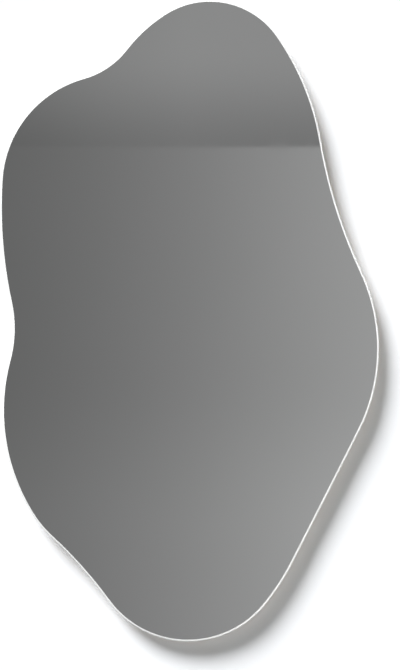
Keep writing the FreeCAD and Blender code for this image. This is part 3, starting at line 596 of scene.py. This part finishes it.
def make_pane():
    """Pane with a smooth outline and a round edge, in the CAD pane's place."""
    cad_pane = frame["nodes"]["mirror_pane"]
    select_only()
    pane = bpy.data.objects.new("silvered_pane", cad_pane.data.copy())
    bpy.context.scene.collection.objects.link(pane)
    select_only(pane)
    half = (pane_low.y + pane_high.y) / 2
    bpy.ops.object.mode_set(mode="EDIT")
    bpy.ops.mesh.select_all(action="SELECT")
    bpy.ops.mesh.remove_doubles(threshold=MERGE_WITHIN)
    bpy.ops.mesh.bisect(plane_co=(0, half, 0), plane_no=(0, 1, 0), clear_inner=True, clear_outer=True)
    dissolved = pick(pane, "verts", halfway_on_chord)
    bpy.ops.mesh.dissolve_verts()
    bpy.ops.object.mode_set(mode="OBJECT")
    corners = len(pane.data.vertices)
    smooth_outline(pane)
    print("outline:", dissolved, "points dissolved,", corners, "corners left,",
          len(pane.data.vertices), "points on the curve")
    bpy.ops.object.mode_set(mode="EDIT")
    bpy.ops.mesh.select_all(action="SELECT")
    bpy.ops.mesh.edge_face_add()
    bpy.ops.transform.translate(value=(0, pane_low.y - half, 0))
    bpy.ops.mesh.extrude_region_move(
        TRANSFORM_OT_translate={"value": (0, pane_high.y - pane_low.y, 0)})
    bpy.ops.object.mode_set(mode="OBJECT")
    recalculate(pane)
    apply_modifier(pane, "BEVEL", "polished_round", width=EDGE_ROUND, segments=EDGE_SEGMENTS,
                   limit_method="ANGLE", angle_limit=SQUARE_CORNER)
    finish_shading(pane)
    return pane


pane = make_pane()
report(pane)

# %% [markdown]
# ## Straps
# Each ring hangs in a strip of 1.2 mm steel, folded double round the ring's pin: one layer on the
# board, an eye, and a second layer back over the first. A strip is best modelled the way it is bent:
# its cross-section is pulled up the board, spun round the pin, spun back where the eye closes, and
# pulled down again. The corners at its end are rounded, the two screw holes are cut through both
# layers, and every edge is broken as a stamping's is.

# %% Straps
STEEL = 0.0012
SEAM = 0.0001
THROAT = 0.0012
END_ROUND = 0.003
EYE_STEPS, CLOSING_STEPS = 24, 10
ROUND_SEGMENTS = 6
SCREW_HOLE = 0.00195
SCREW_HOLE_SIDES = 28
SCREW_PLACES = (0.0115, 0.0415)
STRAP_EASE = 0.00012

strap_low, strap_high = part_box("upper_left_strap")
EYE = (strap_high.y - strap_low.y) / 2
PIN_Y = strap_low.y + EYE
STRAP_LENGTH = strap_high.z - strap_low.z - EYE
STRAP_WIDTH = strap_high.x - strap_low.x


def make_strap_pattern():
    """Strap with its pin along X at the origin and its end below."""
    inner = EYE - STEEL
    throat_y = SEAM - inner + STEEL + THROAT
    throat_z = -math.sqrt((EYE + THROAT) ** 2 - throat_y ** 2)
    closing = math.atan2(throat_z, throat_y)
    strap = start_piece("strap_pattern", bpy.ops.mesh.primitive_plane_add, size=1,
                        location=(0, -(inner + STEEL / 2), -STRAP_LENGTH))
    bpy.ops.object.mode_set(mode="EDIT")
    bpy.ops.transform.resize(value=(STRAP_WIDTH, STEEL, 1))
    bpy.ops.mesh.extrude_region_move(TRANSFORM_OT_translate={"value": (0, 0, STRAP_LENGTH)})
    bpy.ops.mesh.spin(steps=EYE_STEPS, angle=math.pi - closing, center=(0, 0, 0), axis=(1, 0, 0))
    bpy.ops.mesh.spin(steps=CLOSING_STEPS, angle=-closing, center=(0, throat_y, throat_z),
                      axis=(-1, 0, 0))
    bpy.ops.mesh.extrude_region_move(
        TRANSFORM_OT_translate={"value": (0, 0, -STRAP_LENGTH - throat_z)})
    pick(strap, "edges", lambda e: runs_along_y(e) and centre_of(e).z < STEEL - STRAP_LENGTH)
    bpy.ops.mesh.bevel(offset=END_ROUND, segments=ROUND_SEGMENTS, affect="EDGES")
    bpy.ops.object.mode_set(mode="OBJECT")
    recalculate(strap)
    for place in SCREW_PLACES:
        drill_along_y(strap, SCREW_HOLE, 4 * EYE, (0, 0, -place), SCREW_HOLE_SIDES)
    ease_edges(strap, STRAP_EASE)
    return strap


strap_pattern = make_strap_pattern()
report(strap_pattern)

# %% [markdown]
# ## Wall hooks
# A wall hook is a plate of 2 mm steel whose lower end is turned out and up into a narrow tongue. The
# plate starts as a cube at its size, its four corners are rounded, and two cuts mark off the width of
# the tongue. The face between the cuts is spun round the seat of the ring's bar and pulled out along
# the tongue's slope. Two screw holes and broken edges finish it.

# %% Wall hooks
HOOK_STEEL = 0.002
SEAT_DROP = 0.024
BEND_INNER = 0.0018
TONGUE_WIDTH = 0.008
TONGUE_SLOPE = math.radians(30)
PLATE_ROUND = 0.003
SEAT_STEPS = 14
WALL_SCREW_HOLE = 0.00225
WALL_SCREW_HOLE_SIDES = 32
WALL_SCREW_RISE = 0.01
HOOK_EASE = 0.00022

hook_low, hook_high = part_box("left_wall_hook")
HOOK_X = (hook_low.x + hook_high.x) / 2
HOOK_WIDTH = hook_high.x - hook_low.x
PLATE_TOP = hook_high.z


def make_hook_pattern():
    """Wall hook above the origin's X, with its plate on the plane Y = 0."""
    seat_y = -HOOK_STEEL - BEND_INNER
    outer = BEND_INNER + HOOK_STEEL
    reach = -hook_low.y + seat_y - outer * math.cos(TONGUE_SLOPE)
    run = reach / math.sin(TONGUE_SLOPE)
    hook = start_piece("hook_pattern", bpy.ops.mesh.primitive_cube_add, size=1,
                       location=(0, -HOOK_STEEL / 2, (PLATE_TOP - SEAT_DROP) / 2),
                       scale=(HOOK_WIDTH, HOOK_STEEL, PLATE_TOP + SEAT_DROP))
    bpy.ops.object.mode_set(mode="EDIT")
    pick(hook, "edges", runs_along_y)
    bpy.ops.mesh.bevel(offset=PLATE_ROUND, segments=ROUND_SEGMENTS, affect="EDGES")
    for side in (-1, 1):
        bpy.ops.mesh.select_all(action="SELECT")
        bpy.ops.mesh.bisect(plane_co=(side * TONGUE_WIDTH / 2, 0, 0), plane_no=(1, 0, 0))
    pick(hook, "faces", lambda f: f.normal.z < -SQUARE_ON and abs(centre_of(f).x) < TONGUE_WIDTH / 4)
    bpy.ops.mesh.spin(steps=SEAT_STEPS, angle=math.pi - TONGUE_SLOPE, center=(0, seat_y, -SEAT_DROP),
                      axis=(1, 0, 0))
    bpy.ops.mesh.extrude_region_move(TRANSFORM_OT_translate={
        "value": (0, -run * math.sin(TONGUE_SLOPE), run * math.cos(TONGUE_SLOPE))})
    bpy.ops.object.mode_set(mode="OBJECT")
    recalculate(hook)
    for rise in (-WALL_SCREW_RISE, WALL_SCREW_RISE):
        drill_along_y(hook, WALL_SCREW_HOLE, 4 * HOOK_STEEL, (0, 0, rise), WALL_SCREW_HOLE_SIDES)
    ease_edges(hook, HOOK_EASE)
    return hook


hook_pattern = make_hook_pattern()
report(hook_pattern)
print("hook reaches", [round(c, 4) for c in hook_pattern.bound_box[0]],
      [round(c, 4) for c in hook_pattern.bound_box[6]])

# %% [markdown]
# ## Screws
# All twelve screws are the same pan-head screw. A cylinder is its head: the rim towards the wall is
# rounded, the face below is inset to the shank's radius and pulled out, and the last stretch shrinks
# to a point. The cross recess is cut with two crossed wedges that narrow towards their bottom.

# %% Screws
HEAD_RADIUS = 0.0035
HEAD_HEIGHT = 0.0024
HEAD_ROUND = 0.0013
SHANK_RADIUS = 0.00175
SHANK_LENGTH = 0.010
POINT_LENGTH = 0.002
RECESS_SPAN = 0.0041
RECESS_WIDTH = 0.0009
RECESS_DEPTH = 0.0013
RECESS_TAPER = (0.5, 1, 0.7)
SCREW_SIDES = 32
SCREW_EASE = 0.00008
HEAD_Y = -0.0085


def make_recess_wedge(turn):
    """Wedge of the cross recess, wide at the head's top and narrow at its bottom."""
    wedge = start_piece("wedge", bpy.ops.mesh.primitive_cube_add, size=1,
                        location=(0, HEAD_HEIGHT, 0),
                        scale=(RECESS_SPAN, 2 * RECESS_DEPTH, RECESS_WIDTH))
    bpy.ops.object.mode_set(mode="EDIT")
    pick(wedge, "faces", lambda f: f.normal.y < -SQUARE_ON)
    bpy.ops.transform.resize(value=RECESS_TAPER)
    bpy.ops.object.mode_set(mode="OBJECT")
    wedge.data.transform(Matrix.Rotation(turn, 4, "Y"))
    return wedge


def make_screw_pattern():
    """Screw along Y with the underside of its head at the origin and its point towards -Y."""
    screw = start_piece("screw_pattern", bpy.ops.mesh.primitive_cylinder_add, vertices=SCREW_SIDES,
                        radius=HEAD_RADIUS, depth=HEAD_HEIGHT, location=(0, HEAD_HEIGHT / 2, 0),
                        rotation=ALONG_Y)
    bpy.ops.object.mode_set(mode="EDIT")
    pick(screw, "faces", lambda f: f.normal.y > SQUARE_ON)
    bpy.ops.mesh.bevel(offset=HEAD_ROUND, segments=ROUND_SEGMENTS, affect="EDGES")
    pick(screw, "faces", lambda f: f.normal.y < -SQUARE_ON)
    bpy.ops.mesh.inset(thickness=HEAD_RADIUS - SHANK_RADIUS)
    bpy.ops.mesh.extrude_region_move(
        TRANSFORM_OT_translate={"value": (0, POINT_LENGTH - SHANK_LENGTH, 0)})
    bpy.ops.mesh.extrude_region_move(TRANSFORM_OT_translate={"value": (0, -POINT_LENGTH, 0)})
    bpy.ops.mesh.merge(type="CENTER")
    bpy.ops.object.mode_set(mode="OBJECT")
    recalculate(screw)
    for turn in (0, math.pi / 2):
        cut_away(screw, make_recess_wedge(turn))
    ease_edges(screw, SCREW_EASE, segments=1)
    return screw


screw_pattern = make_screw_pattern()
report(screw_pattern)

# %% [markdown]
# ## Mirror glass, polished edge and back paint
# Silver under float glass reflects about nine tenths, with the faintest green. Its only texture is
# what cleaning leaves, very slight clouds of haze, so the roughness varies a little and stays low. The
# polished edge is glass seen from the side, green in its middle. Its pale front is painted light, for
# light that comes through the clear glass, and the bright line near its back, where the silver ends, is
# a painted reflection of the silver. The paint over the silver is a fine, even grey lacquer.

# %% Glass finishes
SILVER_COLOURS = ((0.895, 0.905, 0.9, 1), (0.91, 0.915, 0.915, 1))
# Colours of the edge, from the front of the glass to its back. The pale front and the bright band at
# 0.9 are painted light: light through the glass and a painted reflection of the silver. The green is the
# glass's own tint, and the last stop is the dark line of the back paint.
EDGE_TINTS_AND_PAINTED_LIGHT = ((0.0, (0.96, 0.97, 0.965, 1)), (0.4, (0.93, 0.96, 0.945, 1)),
                (0.55, (0.68, 0.82, 0.77, 1)), (0.82, (0.55, 0.74, 0.68, 1)),
                (0.9, (0.9, 0.93, 0.92, 1)), (1.0, (0.42, 0.46, 0.46, 1)))
GLASS_IOR = 1.52
PAINT_COLOURS = ((0.2, 0.22, 0.225, 1), (0.24, 0.26, 0.265, 1))


def mirror_material():
    """Silver under clear glass, with very slight clouds of haze."""
    material, tree, shader = new_material("silvered_mirror")
    clouds = noise(tree, object_place(tree), 5, detail=4)
    wipes = noise(tree, object_place(tree, (30, 1, 6)), 1.5, detail=3)
    haze = math_node(tree, "MULTIPLY", clouds, wipes)
    feed(tree, shader, Base_Color=mix_colour(tree, even_share(tree, clouds), *SILVER_COLOURS),
         Metallic=1.0, Roughness=map_range(tree, haze, 0.15, 0.4, 0.012, 0.03))
    return material


def glass_edge_material():
    """Polished edge: the green of the glass and a dark line of paint, with a pale front and a bright band
    painted as light through the glass and a reflection of the silver.
    """
    material, tree, shader = new_material("glass_edge_with_painted_light")
    depth = node(tree, "ShaderNodeSeparateXYZ", Vector=object_place(tree)).outputs["Y"]
    through = map_range(tree, depth, pane_low.y, pane_high.y, 0, 1)
    grinding = noise(tree, object_place(tree, (1, 12, 1)), 160, detail=3)
    # The ramp paints light across the edge: its pale front and the bright band near the back are painted
    # light, and the green between them is the glass's own tint.
    feed(tree, shader, Base_Color=colour_ramp(tree, through, EDGE_TINTS_AND_PAINTED_LIGHT), IOR=GLASS_IOR,
         Roughness=map_range(tree, grinding, 0.3, 0.7, 0.04, 0.12),
         Normal=bump(tree, grinding, 0.15, 0.00005))
    return material


def back_paint_material():
    """Grey lacquer with a fine peel and faint patches."""
    material, tree, shader = new_material("mirror_back_paint")
    peel = noise(tree, object_place(tree), 900, detail=2)
    patches = noise(tree, object_place(tree), 18, detail=3)
    feed(tree, shader, Base_Color=mix_colour(tree, even_share(tree, patches), *PAINT_COLOURS),
         Roughness=map_range(tree, patches, 0.3, 0.7, 0.38, 0.5),
         Normal=bump(tree, peel, 0.3, 0.0001))
    return material


pane.data.materials.clear()
for finish in (mirror_material(), glass_edge_material(), back_paint_material()):
    pane.data.materials.append(finish)
for face in pane.data.polygons:
    if face.normal.y < -FLAT_ON:
        face.material_index = FRONT_SLOT
    elif face.normal.y > FLAT_ON:
        face.material_index = BACK_SLOT
    else:
        face.material_index = EDGE_SLOT
slots = [face.material_index for face in pane.data.polygons]
print("pane faces per slot", [slots.count(slot) for slot in (FRONT_SLOT, EDGE_SLOT, BACK_SLOT)])

# %% [markdown]
# ## Film, foam tape, board and rubber
# The safety film is a matt grey plastic with a woven grid in it. Foam tape is white with small open
# cells, darker in the cells, where its surface sinks, as painted shade. The board is pressed wood fibre:
# tan, with dark and light specks and short fibres, smoother on its faces than on its sawn edge, where the
# fibres stand up and the colour is darker. Rubber feet are black with a fine grain and a little dust.

# %% Soft and matt finishes
FILM_GREY, FILM_THREAD, FILM_STAIN = (0.4, 0.43, 0.45, 1), (0.3, 0.33, 0.35, 1), (0.5, 0.52, 0.53, 1)
THREADS_PER_METRE = 420
FOAM_WHITE_AND_PAINTED_CELL_SHADE = ((0.62, 0.62, 0.59, 1), (0.84, 0.84, 0.81, 1))
BOARD_COLOURS = ((0.3, 0.175, 0.075, 1), (0.45, 0.29, 0.145, 1))
BOARD_FIBRE, BOARD_CLOUD = (0.58, 0.41, 0.23, 1), (0.5, 0.33, 0.17, 1)
BOARD_SAWN = (0.24, 0.135, 0.06, 1)
RUBBER_BLACK, RUBBER_DUST = (0.018, 0.018, 0.019, 1), (0.09, 0.088, 0.084, 1)


def film_material():
    """Matt film with a woven grid and faint stains."""
    material, tree, shader = new_material("grey_safety_film")
    place = object_place(tree)
    split = node(tree, "ShaderNodeSeparateXYZ", Vector=place)
    waves = []
    for axis in ("X", "Z"):
        turn = math_node(tree, "MULTIPLY", split.outputs[axis], THREADS_PER_METRE * math.pi)
        waves.append(math_node(tree, "ABSOLUTE", math_node(tree, "SINE", turn)))
    grid = map_range(tree, math_node(tree, "MINIMUM", *waves), 0.0, 0.35, 1, 0)
    stain = noise(tree, place, 25, detail=3)
    woven = mix_colour(tree, math_node(tree, "MULTIPLY", grid, 0.5), FILM_GREY, FILM_THREAD)
    stained = mix_colour(tree, map_range(tree, stain, 0.35, 0.7, 0, 0.3), woven, FILM_STAIN)
    feed(tree, shader, Base_Color=stained, Roughness=map_range(tree, stain, 0.3, 0.7, 0.45, 0.6),
         Normal=bump(tree, grid, 0.4, 0.0001))
    return material


def foam_material():
    """White foam with small open cells, darker in them as painted shade."""
    material, tree, shader = new_material("white_foam_tape")
    cells = node(tree, "ShaderNodeTexVoronoi", Vector=object_place(tree), Scale=1600.0).outputs["Distance"]
    # Painted shade: the foam is darker in its cells, where the bump sinks.
    foam = mix_colour(tree, map_range(tree, cells, 0.1, 0.6, 0, 1), *FOAM_WHITE_AND_PAINTED_CELL_SHADE)
    feed(tree, shader, Base_Color=foam, Roughness=0.85, Normal=bump(tree, cells, 0.5, 0.0002))
    return material


def fibres_along(tree, stretch):
    return noise(tree, object_place(tree, stretch), 520, detail=3, roughness=0.65)


def fibreboard_material():
    """Pressed fibre: specks, short fibres and clouds, and a darker, rougher sawn edge."""
    material, tree, shader = new_material("raw_fibreboard")
    place = object_place(tree)
    normal = tree.nodes.new("ShaderNodeNewGeometry").outputs["Normal"]
    faces_wall = node(tree, "ShaderNodeSeparateXYZ", Vector=normal).outputs["Y"]
    sawn = map_range(tree, math_node(tree, "ABSOLUTE", faces_wall), 0.5, 0.95, 1, 0)
    specks = noise(tree, place, 2400, detail=2, roughness=0.7)
    fibres = math_node(tree, "MAXIMUM", fibres_along(tree, (1, 5, 5)), fibres_along(tree, (5, 5, 1)))
    clouds = noise(tree, place, 9, detail=4)
    tan = mix_colour(tree, map_range(tree, specks, 0.35, 0.65, 0, 1), *BOARD_COLOURS)
    tan = mix_colour(tree, map_range(tree, fibres, 0.52, 0.75, 0, 0.75), tan, BOARD_FIBRE)
    tan = mix_colour(tree, map_range(tree, clouds, 0.3, 0.75, 0, 0.35), tan, BOARD_CLOUD)
    tan = mix_colour(tree, math_node(tree, "MULTIPLY", sawn, 0.55), tan, BOARD_SAWN)
    height = math_node(tree, "ADD", fibres, math_node(tree, "MULTIPLY", specks, 0.6))
    feed(tree, shader, Base_Color=tan, Roughness=map_range(tree, sawn, 0, 1, 0.62, 0.9),
         Normal=bump(tree, height, 0.35, 0.00012))
    return material


def rubber_material():
    """Black rubber with a fine grain and a little dust."""
    material, tree, shader = new_material("black_rubber")
    grain = noise(tree, object_place(tree), 2200, detail=2)
    dust = noise(tree, object_place(tree), 130, detail=4)
    dusty = mix_colour(tree, map_range(tree, dust, 0.5, 0.8, 0, 0.35), RUBBER_BLACK, RUBBER_DUST)
    feed(tree, shader, Base_Color=dusty, Roughness=map_range(tree, dust, 0.3, 0.7, 0.5, 0.75),
         Normal=bump(tree, grain, 0.3, 0.00008))
    return material


# %% [markdown]
# ## Steel
# Straps, hooks and screws are zinc-plated: a bluish silver with faint cloudy crystals and the fine marks
# of rolling, which lie level on the straps and upright on the hooks. The rings are nickel-plated wire,
# warmer, brighter and smoother.

# %% Metal finishes
CRYSTALS_PER_METRE = 330.0
ROUGHNESS_SPREAD = 0.05


def plated_material(name, light, dark, roughness, marks_stretch, marks_scale):
    """Plated steel: two tones in cloudy crystals, and fine marks along one direction."""
    material, tree, shader = new_material(name)
    place = object_place(tree)
    crystals = node(tree, "ShaderNodeTexVoronoi", Vector=place, Scale=CRYSTALS_PER_METRE)
    clouds = noise(tree, place, 70, detail=3)
    marks = noise(tree, object_place(tree, marks_stretch), marks_scale, detail=3, roughness=0.6)
    blend = math_node(tree, "MULTIPLY", even_share(tree, clouds),
                      map_range(tree, crystals.outputs["Distance"], 0.0, 0.8, 0.4, 1))
    cloudy = map_range(tree, clouds, 0.3, 0.7, roughness - ROUGHNESS_SPREAD,
                       roughness + ROUGHNESS_SPREAD)
    marked = map_range(tree, marks, 0.4, 0.7, 0, 0.1)
    feed(tree, shader, Base_Color=mix_colour(tree, blend, (*light, 1), (*dark, 1)), Metallic=1.0,
         Roughness=math_node(tree, "ADD", cloudy, marked), Normal=bump(tree, marks, 0.12, 0.00004))
    return material


finishes = {
    "film": film_material(),
    "foam_tape": foam_material(),
    "fibreboard": fibreboard_material(),
    "rubber": rubber_material(),
    "zinc_steel": plated_material(
        "zinc_plated_strip", light=(0.69, 0.71, 0.74), dark=(0.55, 0.57, 0.6), roughness=0.3,
        marks_stretch=(1, 1, 14), marks_scale=500),
    "hook_steel": plated_material(
        "zinc_plated_hook", light=(0.66, 0.68, 0.71), dark=(0.52, 0.54, 0.57), roughness=0.32,
        marks_stretch=(14, 1, 1), marks_scale=420),
    "screw_steel": plated_material(
        "zinc_plated_screw", light=(0.72, 0.73, 0.74), dark=(0.56, 0.57, 0.59), roughness=0.26,
        marks_stretch=(1, 1, 1), marks_scale=1500),
    "ring_wire": plated_material(
        "nickel_plated_wire", light=(0.8, 0.78, 0.74), dark=(0.68, 0.66, 0.62), roughness=0.16,
        marks_stretch=(1, 1, 1), marks_scale=2500),
}
print("finishes", sorted(finishes))

# %% [markdown]
# ## Place the pieces
# The strap, the hook and the screw are copied to where the CAD frame has them, each copy with its own
# mesh, and every new piece rides on the body of the node that it replaces. A strap on the side is the
# upright one turned a quarter about Y. Screws are left at different turns, as a driver leaves them.

# %% Place the pieces
SCREW_TURN = math.radians(67)
QUARTER = Matrix.Rotation(math.radians(90), 4, "Y")
STRAPS = ("upper_left", "upper_right", "side_upper", "side_lower")
BUMPERS = ("upper_left", "upper_right", "lower_left", "lower_right")
bodies = frame["record"]["behaviour"]["bodies"]
node_body = {name: body for body, names in bodies.items() for name in names}
node_slot = {part["node"]: part["material_slot"] for part in frame["record"]["subparts"]}


def stand_for(piece, cad_node, finish=None):
    """The piece takes the place, body and finish of a CAD node."""
    if finish:
        piece.data.materials.clear()
        piece.data.materials.append(finish)
    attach(piece, node_body[cad_node])
    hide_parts(cad_node)


def screw_set(cad_node, places, first_turn):
    """One piece of several screws, each at a place on the board and at its own turn."""
    screws = []
    for index, (x, z) in enumerate(places):
        turn = Matrix.Rotation((first_turn + index) * SCREW_TURN, 4, "Y")
        change = Matrix.Translation((x, HEAD_Y, z)) @ turn
        screws.append(copy_piece(screw_pattern, f"screw_{index}", change))
    select_only(*screws)
    bpy.ops.object.join()
    joined = bpy.context.object
    joined.name = joined.data.name = f"{cad_node}_set"
    stand_for(joined, cad_node, finishes["screw_steel"])


stand_for(pane, "mirror_pane")
for count, label in enumerate(STRAPS):
    low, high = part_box(f"{label}_strap")
    if label.startswith("side"):
        pin = Vector((high.x - EYE, PIN_Y, (low.z + high.z) / 2))
        turn = QUARTER
    else:
        pin = Vector(((low.x + high.x) / 2, PIN_Y, high.z - EYE))
        turn = Matrix.Identity(4)
    strap = copy_piece(strap_pattern, f"{label}_folded_strap", Matrix.Translation(pin) @ turn)
    stand_for(strap, f"{label}_strap", finishes["zinc_steel"])
    down = turn @ Vector((0, 0, -1))
    holes = [pin + down * place for place in SCREW_PLACES]
    screw_set(f"{label}_strap_screws", [(hole.x, hole.z) for hole in holes], 2 * count)

bumper_middles = []
for label in BUMPERS:
    low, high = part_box(f"{label}_bumper")
    bumper_middles.append(((low.x + high.x) / 2, (low.z + high.z) / 2))
screw_set("bumper_screws", bumper_middles, 2 * len(STRAPS))

for side, label in ((1, "left"), (-1, "right")):
    hook = copy_piece(hook_pattern, f"{label}_bent_hook", Matrix.Translation((side * HOOK_X, 0, 0)))
    stand_for(hook, f"{label}_wall_hook", finishes["hook_steel"])

for pattern in (strap_pattern, hook_pattern, screw_pattern):
    bpy.data.objects.remove(pattern)

for name, cad_object in frame["nodes"].items():
    if not cad_object.hide_render:
        for slot in cad_object.material_slots:
            slot.material = finishes[node_slot[name]]

# %% [markdown]
# ## Sizes
# The box of the finished pieces is written beside the CAD box, so that the two can be compared.

# %% Sizes
low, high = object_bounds()
print("visual box", [round(c, 4) for c in low], [round(c, 4) for c in high])
